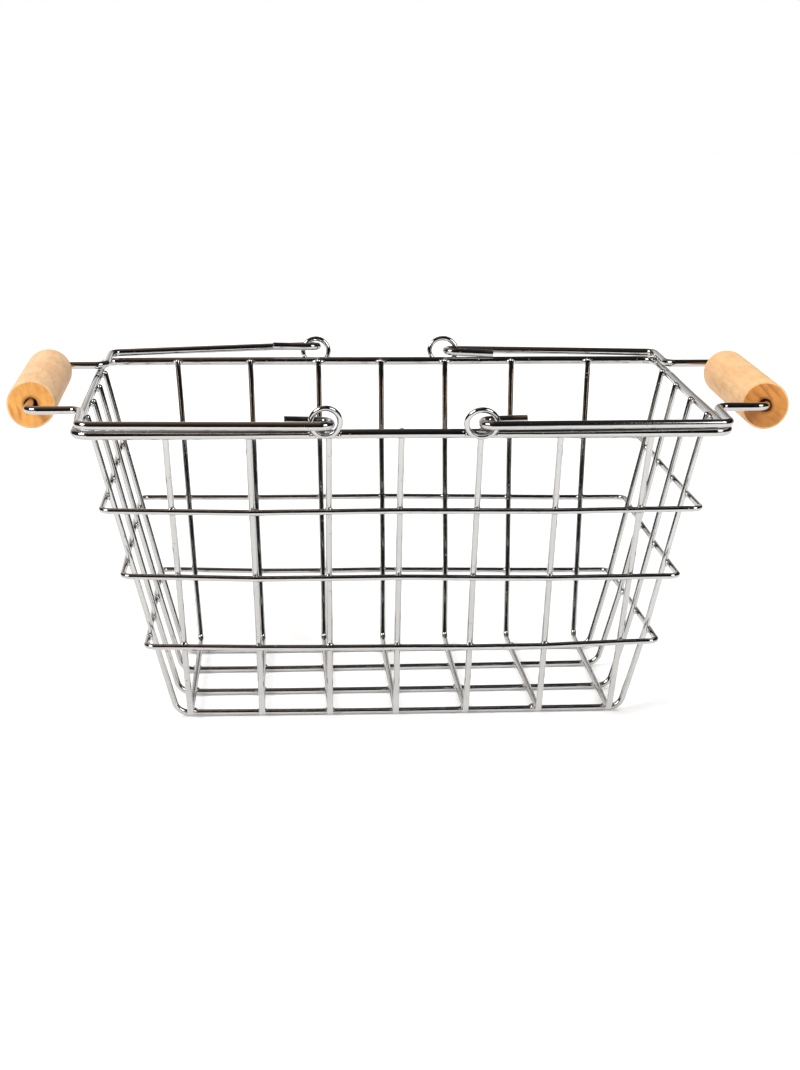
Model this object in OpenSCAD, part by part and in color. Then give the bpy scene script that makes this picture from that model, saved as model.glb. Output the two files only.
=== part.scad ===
// Wire basket with two folding bail handles and turned wooden grips.
// It stands on its floor wires. +Z is up, the long sides run along X, and the
// origin is on the ground under the middle of the floor. Front is -Y.

/* [Rim] */
// Outer length of the rim
rim_length = 349; // [320:1:400]
// Outer width of the rim
rim_width = 221; // [200:1:260]
// Height of the top of the rim above the ground
rim_height = 176; // [160:1:210]
// Diameter of the rim wire
rim_wire = 5; // [4:0.1:6]
// Centreline radius of the rim's corners
rim_corner = 8; // [6:0.5:20]

/* [Floor] */
// Length of the floor between the corners of the lengthwise wires' centrelines
floor_length = 251; // [235:1:280]
// Width of the floor between the corners of the crosswise wires' centrelines
floor_width = 138; // [130:1:160]
// Centreline radius where a lengthwise wire turns up into an end wall
length_bend = 8; // [4:0.5:10]
// Centreline radius where a crosswise wire turns up into a long wall
cross_bend = 5; // [3:0.5:9]

/* [Mesh wires] */
// Diameter of the wires of the floor and walls
mesh_wire = 3; // [2.4:0.1:3.4]
// Spacing of the inner crosswise wires at the rim
cross_pitch_rim = 41.2; // [36:0.2:46]
// Spacing of the inner crosswise wires on the floor
cross_pitch_floor = 38.4; // [32:0.2:42]
// Outermost crosswise wire to the rim's end wire, at the rim
cross_margin_rim = 43.5; // [30:0.5:50]
// Outermost crosswise wire to the floor's end corner, on the floor
cross_margin_floor = 8.5; // [8.5:0.5:16]
// Spacing of the lengthwise wires at the rim
length_pitch_rim = 43.2; // [38:0.2:48]
// Spacing of the lengthwise wires on the floor
length_pitch_floor = 38.4; // [34:0.2:40]

/* [Hoops] */
// Height of the top hoop's centreline
top_hoop_height = 129; // [120:1:140]
// Height of the middle hoop's centreline
middle_hoop_height = 90.5; // [80:0.5:105]
// Height of the bottom hoop's centreline
bottom_hoop_height = 47; // [30:1:65]
// Centreline radius of the hoops' corners
hoop_corner = 5; // [3:0.5:12]

/* [Pivot rings] */
// Outer diameter of a pivot ring
ring_diameter = 18.8; // [16:0.2:22]
// Diameter of the ring wire
ring_wire = 3; // [2.4:0.1:3.6]
// Height of the pivots above the handle wire where it rests on the rim
pivot_lift = 1.1; // [0.4:0.1:3]

/* [Handles] */
// Diameter of the handle wire
handle_wire = 4.6; // [4:0.1:5.4]
// Centreline radius of the handle's corners
handle_bend = 6; // [4:0.5:9]
// Room for a hook's legs past the leaning top of their pivot ring
hook_clear = 1.3; // [1.1:0.1:2]
// Length of a front hook's return leg, from the pivot to its cut end
front_hook_return = 22.8; // [14:0.2:34]
// Length of a back hook's return leg
back_hook_return = 27.4; // [14:0.2:34]
// Rise of a return leg's cut end above the pivot
hook_rise = 0.6; // [0:0.2:3]
// How far the long legs' corners lie outside the rim's centreline
leg_overhang = 1; // [0:0.5:4]
// How far the handle's end runs lie inside the rim's end centreline
end_inset = 1; // [0:0.5:4]

/* [Grips] */
// Diameter of a grip
grip_diameter = 25.4; // [18:0.2:30]
// Length of a grip
grip_length = 102; // [90:1:114]
// How much wider the grip's bore is than the handle wire
grip_slack = 2.8; // [1.4:0.2:4]
// Rounding of the grip's end edges
grip_edge = 1; // [0.4:0.2:2]
// How far a grip hangs below its wire's centre
grip_sag = 1; // [0:0.1:1]
// Free travel of a grip along its wire, each way from the middle
grip_play = 11; // [7:0.5:14]
// Gap for the fingers between the rim and a folded-out grip
hand_gap = 14.5; // [10:0.5:30]
// Where the left grip has slid to along its wire
left_grip_slide = 6; // [-7:0.5:7]
// Where the right grip has slid to along its wire
right_grip_slide = -10; // [-10:0.5:7]

/* [Fits] */
// How deep welded wires are set into each other
weld_set = 0.15; // [0.05:0.05:0.3]
// Gap left under the handle wire where it rests on the rim
rest_gap = 0.3; // [0.3:0.1:0.6]
// How much thicker a wire is at the marks where a bend starts and ends
bend_mark = 0.02; // [0.02:0.01:0.04]
// Half the length of those marks along the wire
mark_half = 0.2; // [0.2:0.1:0.4]

/* [Hidden] */
chrome = [0.78, 0.79, 0.81];
beech = [0.91, 0.75, 0.58];
$fn = 48;

cross_count = 7;
length_count = 4;
LEFT = -1;
RIGHT = 1;
FRONT = -1;
BACK = 1;

rim_r = rim_wire / 2;
mesh_r = mesh_wire / 2;
ring_r = ring_wire / 2;
handle_r = handle_wire / 2;

// Centrelines of the rim and of the floor's two layers
rim_x = rim_length / 2 - rim_r;
rim_y = rim_width / 2 - rim_r;
rim_z = rim_height - rim_r;
floor_x = floor_length / 2;
floor_y = floor_width / 2;
length_z = mesh_r;
cross_z = length_z + mesh_wire - weld_set;

// The uprights are welded to the rim's inner side, and their round tips are
// flush with its top. Each wall leans out so that its wires touch the rim.
rim_touch = rim_r + mesh_r - weld_set;
mesh_touch = mesh_wire - weld_set;
tip_z = rim_height - mesh_r;
function wall_lean(run, rise) = atan2(run, rise) - asin(rim_touch / norm([run, rise]));
long_wall_lean = wall_lean(rim_y - floor_y, rim_z - cross_z);
end_wall_lean = wall_lean(rim_x - floor_x, rim_z - length_z);
function long_wall_y(z) = floor_y + (z - cross_z) * tan(long_wall_lean);
function end_wall_x(z) = floor_x + (z - length_z) * tan(end_wall_lean);

// Pivots: each ring leans out with its long wall and touches the rim's side
bail_z = rim_height + handle_r + rest_gap;
ring_hub_r = ring_diameter / 2 - ring_r;
ring_lean = long_wall_lean;
ring_touch = rim_r + ring_r - weld_set;
pivot_x = cross_pitch_rim;
pivot_z = bail_z + pivot_lift;
pivot_y = rim_y + (ring_touch + (pivot_z - rim_z) * sin(ring_lean)) / cos(ring_lean);

// The handle wire's path around the rim
hook_bend = ring_hub_r * sin(ring_lean) + hook_clear + handle_r;
hook_reach = hook_bend + ring_r;
corner_x = rim_x - end_inset;
corner_y = rim_y + leg_overhang;
grip_x = rim_length / 2 + hand_gap + grip_diameter / 2;
grip_y = grip_length / 2 + grip_play + handle_bend;
bore_r = handle_r + grip_slack / 2;
grip_r = grip_diameter / 2;
overrun = grip_edge;

cross_names = [for (i = [1:cross_count]) str("cross_wire_", i)];
length_names = [for (i = [1:length_count]) str("length_wire_", i)];

// Bent wire

function unit(v) = v / norm(v);
function turn(a, b, c) = acos(unit(b - a) * unit(c - b));
function set_back(a, b, c, bend) = bend * tan(turn(a, b, c) / 2);

// Its children, drawn up the Z axis, turned to point from a to b
module along(a, b) {
    run = b - a;
    translate(a)
        rotate([0, acos(run.z / norm(run)), atan2(run.y, run.x)])
            children();
}

// Straight run of wire from a to b
module wire_run(a, b, r) {
    along(a, b) cylinder(r = r, h = norm(b - a));
}

// Straight run of wire from a to b, with a round tip beyond b
module tipped_run(a, b, r) {
    along(a, b) rotate_extrude() {
        square([r, norm(b - a)]);
        translate([0, norm(b - a)]) intersection() {
            circle(r = r);
            square(r);
        }
    }
}

// Bend at corner b of a wire that comes from a and goes on to c. A short
// mark around each end of the bend ties it to the straight run.
module wire_bend(a, b, c, bend, r) {
    ahead = unit(b - a);
    onward = unit(c - b);
    back = set_back(a, b, c, bend);
    pole = unit(cross(ahead, onward));
    spoke = cross(ahead, pole);
    start = b - ahead * back;
    centre = start - spoke * bend;
    for (end = [[start, ahead], [b + onward * back, onward]])
        wire_run(end[0] - end[1] * mark_half, end[0] + end[1] * mark_half, r + bend_mark);
    multmatrix([
        [spoke.x, ahead.x, pole.x, centre.x],
        [spoke.y, ahead.y, pole.y, centre.y],
        [spoke.z, ahead.z, pole.z, centre.z],
        [0, 0, 0, 1]
    ])
        rotate_extrude(angle = turn(a, b, c))
            translate([bend, 0]) circle(r = r);
}

// Open wire along points, with a bend radius for each point. Its ends are
// cut square, or round where tipped.
module open_wire(points, bends, r, tipped = false) {
    last = len(points) - 1;
    backs = [for (i = [0:last]) i == 0 || i == last ? 0
        : set_back(points[i - 1], points[i], points[i + 1], bends[i])];
    starts = [for (i = [0:last - 1]) points[i] + unit(points[i + 1] - points[i]) * backs[i]];
    ends = [for (i = [1:last]) points[i] - unit(points[i] - points[i - 1]) * backs[i]];
    for (i = [0:last - 1])
        if (tipped && i == 0) tipped_run(ends[i], starts[i], r);
        else if (tipped && i == last - 1) tipped_run(starts[i], ends[i], r);
        else wire_run(starts[i], ends[i], r);
    for (i = [1:last - 1])
        wire_bend(points[i - 1], points[i], points[i + 1], bends[i], r);
}

// Closed level rectangle of wire, half_x by half_y at height z
module wire_frame(half_x, half_y, z, corner, r) {
    points = [
        [half_x, half_y, z], [-half_x, half_y, z],
        [-half_x, -half_y, z], [half_x, -half_y, z]
    ];
    n = len(points);
    for (i = [0:n - 1]) {
        a = points[i];
        b = points[(i + 1) % n];
        c = points[(i + 2) % n];
        inset = unit(b - a) * corner;
        wire_run(a + inset, b - inset, r);
        wire_bend(a, b, c, corner, r);
    }
}

// Fixed wires, welded where they cross

module rim() {
    color(chrome) wire_frame(rim_x, rim_y, rim_z, rim_corner, rim_r);
}

// Places of the crosswise wires along X: even in the middle, and a
// margin from each end for the outermost two
function cross_place(i, pitch, half_span) =
    i == 1 ? -half_span : i == cross_count ? half_span
    : (i - (cross_count + 1) / 2) * pitch;

// Crosswise wire: front wall, floor and back wall
module cross_wire(i) {
    x_rim = cross_place(i, cross_pitch_rim, rim_x - cross_margin_rim);
    x_floor = cross_place(i, cross_pitch_floor, floor_x - cross_margin_floor);
    x_tip = x_floor + (x_rim - x_floor) * (tip_z - cross_z) / (rim_z - cross_z);
    y_tip = long_wall_y(tip_z);
    points = [
        [x_tip, -y_tip, tip_z], [x_floor, -floor_y, cross_z],
        [x_floor, floor_y, cross_z], [x_tip, y_tip, tip_z]
    ];
    color(chrome) open_wire(points, [0, cross_bend, cross_bend, 0], mesh_r, tipped = true);
}

// Lengthwise wire: left wall, floor and right wall
module length_wire(i) {
    place = i - (length_count + 1) / 2;
    y_rim = place * length_pitch_rim;
    y_floor = place * length_pitch_floor;
    y_tip = y_floor + (y_rim - y_floor) * (tip_z - length_z) / (rim_z - length_z);
    x_tip = end_wall_x(tip_z);
    points = [
        [-x_tip, y_tip, tip_z], [-floor_x, y_floor, length_z],
        [floor_x, y_floor, length_z], [x_tip, y_tip, tip_z]
    ];
    color(chrome) open_wire(points, [0, length_bend, length_bend, 0], mesh_r, tipped = true);
}

// Hoop around the outside of the uprights
module hoop(z) {
    color(chrome) wire_frame(
        end_wall_x(z) + mesh_touch / cos(end_wall_lean),
        long_wall_y(z) + mesh_touch / cos(long_wall_lean),
        z, hoop_corner, mesh_r
    );
}

// Ring welded to the rim's outer side, that a handle's hook turns in
module pivot_ring(side, end) {
    color(chrome)
        translate([side * pivot_x, end * pivot_y, pivot_z])
            rotate([90 - end * ring_lean, 0, 0])
                rotate_extrude()
                    translate([ring_hub_r, 0]) circle(r = ring_r);
}

// Moving parts

// One half of a handle's path, from the hook's cut end to the grip's corner
function hook_return(end) = end == FRONT ? front_hook_return : back_hook_return;
function handle_half(side, end) = [
    [side * (pivot_x + hook_return(end)), end * (pivot_y - hook_reach), pivot_z + hook_rise],
    [side * pivot_x, end * (pivot_y - hook_reach), pivot_z],
    [side * pivot_x, end * (pivot_y + hook_reach), pivot_z],
    [side * corner_x, end * corner_y, bail_z],
    [side * corner_x, end * grip_y, bail_z],
    [side * grip_x, end * grip_y, bail_z]
];
function backwards(list) = [for (i = [len(list) - 1:-1:0]) list[i]];

// Bail handle, folded out on the rim
module handle(side) {
    half_bends = [0, hook_bend, hook_bend, handle_bend, handle_bend, handle_bend];
    color(chrome) open_wire(
        concat(handle_half(side, FRONT), backwards(handle_half(side, BACK))),
        concat(half_bends, backwards(half_bends)),
        handle_r
    );
}

// What comes off a grip's end to round its edge
module edge_cut() {
    rotate_extrude() difference() {
        translate([grip_r - grip_edge, -overrun])
            square([grip_edge + overrun, grip_edge + overrun]);
        translate([grip_r - grip_edge, grip_edge]) circle(r = grip_edge);
    }
}

// Wooden grip, loose on the handle's cross run
module grip(side, slide) {
    color(beech)
        translate([side * grip_x, slide, bail_z - grip_sag])
            rotate([90, 0, 0])
                difference() {
                    cylinder(r = grip_r, h = grip_length, center = true);
                    cylinder(r = bore_r, h = grip_length + 2 * overrun, center = true);
                    for (end = [0, 180])
                        rotate([end, 0, 0])
                            translate([0, 0, -grip_length / 2]) edge_cut();
                }
}

rim();
for (i = [1:cross_count])
    cross_wire(i);
for (i = [1:length_count])
    length_wire(i);
hoop(top_hoop_height);  // top_hoop
hoop(middle_hoop_height);  // middle_hoop
hoop(bottom_hoop_height);  // bottom_hoop
pivot_ring(LEFT, FRONT);  // left_front_ring
pivot_ring(LEFT, BACK);  // left_back_ring
pivot_ring(RIGHT, FRONT);  // right_front_ring
pivot_ring(RIGHT, BACK);  // right_back_ring
handle(LEFT);  // left_handle
handle(RIGHT);  // right_handle
grip(LEFT, left_grip_slide);  // left_grip
grip(RIGHT, right_grip_slide);  // right_grip
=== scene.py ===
"""Finished look of a chromed wire basket with bail handles and wooden grips.

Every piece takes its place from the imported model's frame, in metres: +Z is up,
the long sides run along X, and front is -Y.
"""

import math

import bpy
from bpy.props import (
    FloatProperty,
    FloatVectorProperty,
    PointerProperty,
)
from bpy.types import NodeSocket, Operator, Panel, PropertyGroup
from mathutils import Matrix, Vector


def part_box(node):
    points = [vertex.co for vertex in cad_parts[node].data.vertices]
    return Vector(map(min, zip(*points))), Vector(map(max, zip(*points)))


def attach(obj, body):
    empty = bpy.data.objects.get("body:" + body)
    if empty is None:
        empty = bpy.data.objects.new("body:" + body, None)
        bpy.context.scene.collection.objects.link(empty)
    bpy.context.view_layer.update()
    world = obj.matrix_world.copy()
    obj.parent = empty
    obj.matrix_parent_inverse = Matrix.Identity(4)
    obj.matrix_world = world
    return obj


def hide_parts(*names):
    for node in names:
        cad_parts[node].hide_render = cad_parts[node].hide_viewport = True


bl_info = {
    "name": "Wire Basket",
    "version": (1, 0, 0),
    "blender": (4, 5, 0),
    "location": "View3D > Sidebar > Basket",
    "description": "Builds the wires, welds, handles, grips and studio of a wire basket",
    "category": "Object",
}

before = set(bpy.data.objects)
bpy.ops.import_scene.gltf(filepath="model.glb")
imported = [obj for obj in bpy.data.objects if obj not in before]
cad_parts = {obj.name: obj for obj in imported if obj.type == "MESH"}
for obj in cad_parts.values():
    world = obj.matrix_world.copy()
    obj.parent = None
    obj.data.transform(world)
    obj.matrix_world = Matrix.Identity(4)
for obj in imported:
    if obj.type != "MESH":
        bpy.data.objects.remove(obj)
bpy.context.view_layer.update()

LEFT, RIGHT = -1, 1
FRONT, BACK = -1, 1
MM = 0.001

CROSS_WIRES = [f"cross_wire_{i}" for i in range(1, 8)]
LENGTH_WIRES = [f"length_wire_{i}" for i in range(1, 5)]
HOOPS = ["top_hoop", "middle_hoop", "bottom_hoop"]
RINGS = {
    (LEFT, FRONT): "left_front_ring",
    (LEFT, BACK): "left_back_ring",
    (RIGHT, FRONT): "right_front_ring",
    (RIGHT, BACK): "right_back_ring",
}
RING_WIRES = (2, 4)  # crosswise wires that end below the pivot rings
SIDES = {LEFT: "left", RIGHT: "right"}
AROUND = [(RIGHT, BACK), (LEFT, BACK), (LEFT, FRONT), (RIGHT, FRONT)]

# How far the wires were welded off their even places by hand, in millimetres.
# Crosswise wires, from the left: sideways at the front rim, the front floor
# bend, the back floor bend and the back rim
CROSS_SET = [
    (2.5, 0.0, 1.5, 0.8),
    (-0.3, -0.2, -0.2, -0.3),
    (0.8, -0.8, -0.2, 0.7),
    (-2.0, -2.2, -1.8, -1.5),
    (-1.1, -1.3, -1.3, -2.8),
    (0.2, 1.8, -0.9, -2.6),
    (2.8, 1.5, 1.4, -0.1),
]
# Lengthwise wires, from the front: backwards at the left and right floor bends
LENGTH_SET = [(0.5, -0.3), (-2.2, -0.8), (0.4, 3.2), (-0.4, -0.4)]
# End walls: sideways along their front and back edges, from the floor up over
# the three hoops to the rim
WALL_SET = {
    LEFT: [(1.1, 0.3), (0.5, -0.6), (-0.4, -0.8), (-0.6, -1.2), (-1.1, -1.1)],
    RIGHT: [(1.0, 0.4), (2.4, 1.8), (1.6, 1.8), (0.9, 1.4), (0.3, -0.3)],
}
# Hoops, from the top: upwards at five places along the front and back runs
HOOP_SET = [
    ((1.5, -0.4, -0.2, -1.1, -0.5), (1.9, 0.7, -0.3, -1.1, -2.1)),
    ((1.6, -0.8, -0.9, -2.4, -2.0), (1.2, 0.7, 0.7, -0.4, -1.2)),
    ((2.3, 0.7, 0.1, -0.5, 1.7), (0.6, -1.0, -1.0, -2.0, -2.6)),
]
# Floor corners, upwards: front left, front right, back left and back right
FLOOR_SET = {(LEFT, FRONT): 0.8, (RIGHT, FRONT): 0.45, (LEFT, BACK): 0.4, (RIGHT, BACK): 0.25}
# Middles of the hoops' left and right runs, upwards, from the top hoop
END_SAG = {LEFT: (-0.8, 0.0, -1.1), RIGHT: (-0.6, -0.9, 0.7)}
# Rim's corners: sideways and upwards
RIM_SET = {
    (LEFT, FRONT): (0.0, 0.0),
    (LEFT, BACK): (0.0, 0.8),
    (RIGHT, FRONT): (0.0, -0.6),
    (RIGHT, BACK): (-0.9, 0.0),
}
# Handles: hook outwards, its inner and its outer leg upwards, its cut tip
# upwards, the leg's corner over the rim sideways and upwards, and the inner
# corner of the step to the grip sideways and upwards
HANDLE_SET = {
    (LEFT, FRONT): (0.2, 0.2, 0.2, 0.2, 0.0, 0.3, -2.0, 0.35),
    (LEFT, BACK): (1.4, 3.5, 2.2, 3.5, 2.3, 0.9, 2.0, 0.45),
    (RIGHT, FRONT): (0.2, 0.0, 0.0, 0.0, 1.3, -0.8, 1.9, -0.15),
    (RIGHT, BACK): (0.0, 0.0, -0.8, -1.9, 0.0, -0.3, 0.0, -0.1),
}
# Grips: turn of the grain in degrees, its shift along the dowel, and the painted
# shadow of the wire, brown below it at the front end (bearing and spread in degrees, depth)
GRAIN = {LEFT: (178, 0, (-48, 14, 0.45)), RIGHT: (140, 60, (216, 34, 0.6))}
# Pivot rings: sideways, upwards, wider and taller
RING_SET = {
    (LEFT, FRONT): (-1.3, 1.1, -0.5, -0.1),
    (LEFT, BACK): (-0.8, -0.3, 0.0, -0.4),
    (RIGHT, FRONT): (-1.7, -0.2, 0.5, -0.6),
    (RIGHT, BACK): (-3.5, -0.3, 1.0, -0.6),
}


# Sizes and colours


def length_property(name, description, default, low, high):
    """Length with its limits, given in millimetres."""
    return FloatProperty(
        name=name, description=description, default=default * MM, min=low * MM, max=high * MM,
        precision=5, subtype="DISTANCE", unit="LENGTH")


def colour_property(name, description, default):
    return FloatVectorProperty(
        name=name, description=description, default=default, size=3, min=0.0, max=1.0, subtype="COLOR")


class WireSizes(PropertyGroup):
    rim_diameter: length_property("Rim Wire", "Diameter of the rim wire", 5, 4, 6)
    rim_corner: length_property("Rim Corner", "Centreline radius of the rim's corners", 8, 6, 20)
    mesh_diameter: length_property(
        "Mesh Wire", "Diameter of the mesh wires in the packed model, from which centrelines are found",
        3, 2.4, 3.4)
    upright_diameter: length_property(
        "Upright Wire", "Plated diameter of the crosswise and lengthwise wires", 3.45, 2.8, 3.6)
    hoop_diameter: length_property("Hoop Wire", "Plated diameter of the hoops", 3.25, 2.8, 3.6)
    floor_length: length_property(
        "Floor Length", "Floor length between the centrelines' corners", 251, 200, 300)
    floor_width: length_property("Floor Width", "Floor width between the centrelines' corners", 138, 100, 200)
    cross_bend: length_property("Crosswise Bend", "Bend radius of a crosswise wire at the floor", 5, 3, 9)
    length_bend: length_property("Lengthwise Bend", "Bend radius of a lengthwise wire at the floor", 8, 4, 10)
    hoop_corner: length_property("Hoop Corner", "Centreline radius of the hoops' corners", 5, 3, 12)
    sway: length_property("Sway", "How far the wires wander from straight", 0.35, 0, 2)


class HandleSizes(PropertyGroup):
    diameter: length_property("Handle Wire", "Diameter of the handle wire", 4.6, 4, 5.4)
    bend: length_property("Corner Bend", "Centreline radius of the handle's corners", 6, 4, 9)
    ring_diameter: length_property("Ring Wire", "Diameter of the pivot rings' wire", 3, 2.4, 3.6)
    front_hook_return: length_property(
        "Front Hook Return", "Length of a front hook's return leg, from the pivot", 22.8, 14, 34)
    back_hook_return: length_property(
        "Back Hook Return", "Length of a back hook's return leg, from the pivot", 27.4, 14, 34)
    hook_seat: length_property(
        "Hook Seat", "How far a resting hook lies from its pivot towards the basket's middle", 1.6, 0, 2)
    hook_rise: length_property("Hook Rise", "Rise of the return leg's cut end above the pivot", 0.6, 0, 3)
    hook_clear: length_property(
        "Hook Room", "Room for the hook's legs past the leaning top of their ring", 1.3, 1.1, 2)
    leg_overhang: length_property(
        "Leg Overhang", "How far the long legs' corners lie outside the rim's centreline", 1, 0, 4)
    end_inset: length_property(
        "End Inset", "How far the end runs lie inside the rim's end centreline", 1, 0, 4)
    grip_play: length_property(
        "Grip Play", "Free travel of a grip each way from the middle of its wire", 11, 7, 14)


class GripSizes(PropertyGroup):
    slack: length_property("Bore Slack", "How much wider the bore is than the handle wire", 2.8, 1.4, 4)
    edge: length_property("Edge Rounding", "Rounding of the grip's end edges", 1, 0.4, 2)
    swelling: length_property(
        "Swelling", "How much the lacquered wood stands out past the packed model's radius", 0.8, 0, 1)
    left_side_colour: colour_property(
        "Left Side Grain", "Colour of the wood along the left grip's side", (0.86, 0.57, 0.32))
    right_side_colour: colour_property(
        "Right Side Grain", "Colour of the wood along the right grip's side", (0.85, 0.535, 0.265))
    fleck_colour: colour_property("Flecks", "Colour of the short pores in the wood", (0.42, 0.22, 0.11))
    left_end_colour: colour_property(
        "Left End Grain", "Colour of the left grip's sawn ends", (0.90, 0.42, 0.105))
    right_end_colour: colour_property(
        "Right End Grain", "Colour of the right grip's sawn ends", (0.68, 0.28, 0.06))


class ChromeFinish(PropertyGroup):
    colour: colour_property("Plating", "Colour of the chrome plating", (0.582, 0.576, 0.569))
    tarnish: colour_property("Tarnish", "Colour of the dull spots in the plating", (0.36, 0.33, 0.30))


class StudioLook(PropertyGroup):
    floor_colour: colour_property("Floor", "Colour of the studio floor", (0.9, 0.9, 0.9))
    floor_lift: FloatProperty(
        name="Floor Lift", description="How much whiter the floor looks to the camera than it is lit",
        default=0.18, min=0.0, max=1.0, subtype="FACTOR")
    lens: FloatProperty(
        name="Lens", description="Focal length of the camera",
        default=69.79, min=20.0, max=200.0, unit="CAMERA")


class BasketSettings(PropertyGroup):
    wires: PointerProperty(type=WireSizes)
    handles: PointerProperty(type=HandleSizes)
    grips: PointerProperty(type=GripSizes)
    chrome: PointerProperty(type=ChromeFinish)
    studio: PointerProperty(type=StudioLook)


# Node trees


class TreeMaker:
    """Adds nodes to a tree, with their settings and links, in one call each."""

    def __init__(self, tree):
        self.tree = tree

    def feed(self, socket, value):
        if isinstance(value, NodeSocket):
            self.tree.links.new(value, socket)
        else:
            socket.default_value = value

    def add(self, kind, inputs=None, **settings):
        node = self.tree.nodes.new(kind)
        for name, value in settings.items():
            setattr(node, name, value)
        for key, value in (inputs or {}).items():
            self.feed(node.inputs[key], value)
        return node

    def maths(self, operation, *values):
        return self.add("ShaderNodeMath", dict(enumerate(values)), operation=operation).outputs[0]

    def vector(self, operation, *values):
        node = self.add("ShaderNodeVectorMath", dict(enumerate(values)), operation=operation)
        return node.outputs["Value" if operation in ("LENGTH", "DISTANCE", "DOT_PRODUCT") else "Vector"]

    def scaled(self, vector, factor):
        node = self.add("ShaderNodeVectorMath", {0: vector, "Scale": factor}, operation="SCALE")
        return node.outputs["Vector"]

    def noise(self, place, scale, detail, roughness=0.5, output="Fac"):
        node = self.add(
            "ShaderNodeTexNoise",
            {"Vector": place, "Scale": scale, "Detail": detail, "Roughness": roughness})
        return node.outputs[output]

    def smooth_step(self, value, start, end):
        node = self.add(
            "ShaderNodeMapRange",
            {"Value": value, "From Min": start, "From Max": end, "To Min": 0.0, "To Max": 1.0},
            interpolation_type="SMOOTHSTEP")
        return node.outputs["Result"]

    def mixed(self, factor, first, second):
        first, second = (c if isinstance(c, NodeSocket) else (*c, 1.0) for c in (first, second))
        return self.add("ShaderNodeMix", {0: factor, 6: first, 7: second}, data_type="RGBA").outputs[2]

    def ramp(self, value, stops):
        """Colour ramp; a stop's colour is a tuple, or one number for a grey."""
        node = self.add("ShaderNodeValToRGB", {0: value})
        elements = node.color_ramp.elements
        while len(elements) < len(stops):
            elements.new(1.0)
        for element, (position, colour) in zip(elements, stops):
            element.position = position
            element.color = (*colour, 1.0) if isinstance(colour, tuple) else (colour, colour, colour, 1.0)
        return node.outputs[0]

    def stored(self, name, kind):
        """Attribute that the geometry carries."""
        return self.add("GeometryNodeInputNamedAttribute", {"Name": name}, data_type=kind).outputs[0]

    def store(self, geometry, name, value, kind):
        node = self.add(
            "GeometryNodeStoreNamedAttribute", {"Geometry": geometry, "Name": name, "Value": value},
            data_type=kind, domain="POINT")
        return node.outputs[0]


class SurfaceMaker(TreeMaker):
    """Adds nodes to a new material and feeds its surface shader."""

    def __init__(self, name):
        self.material = bpy.data.materials.new(name)
        self.material.use_nodes = True
        super().__init__(self.material.node_tree)
        self.shader = self.tree.nodes["Principled BSDF"]

    def surface(self, label, value):
        self.feed(self.shader.inputs[label], value)

    def bump(self, strength, distance, height):
        node = self.add("ShaderNodeBump", {"Strength": strength, "Distance": distance, "Height": height})
        self.surface("Normal", node.outputs[0])

    def attribute(self, name, output="Fac"):
        return self.add("ShaderNodeAttribute", attribute_name=name).outputs[output]


def new_node_group(name, inputs):
    """Empty Geometry Nodes group: each input is (name, socket kind, default)."""
    tree = bpy.data.node_groups.new(name, "GeometryNodeTree")
    tree.is_modifier = True
    tree.interface.new_socket("Geometry", in_out="INPUT", socket_type="NodeSocketGeometry")
    for label, kind, default in inputs:
        socket = tree.interface.new_socket(label, in_out="INPUT", socket_type="NodeSocket" + kind)
        if default is not None:
            socket.default_value = default
    tree.interface.new_socket("Geometry", in_out="OUTPUT", socket_type="NodeSocketGeometry")
    maker = TreeMaker(tree)
    return maker, maker.add("NodeGroupInput"), maker.add("NodeGroupOutput")


def wander(maker, geometry, amount):
    """Moves points by a slow drift that depends only on where they are, so
    that wires which touch drift together."""
    position = maker.add("GeometryNodeInputPosition").outputs[0]
    drift = maker.noise(position, 9.0, 1.0, output="Color")
    centred = maker.vector("SUBTRACT", drift, (0.5, 0.5, 0.5))
    flattened = maker.vector("MULTIPLY", centred, (4.0, 4.0, 1.5))
    offset = maker.scaled(flattened, amount)
    return maker.add("GeometryNodeSetPosition", {"Geometry": geometry, "Offset": offset}).outputs[0]


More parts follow.
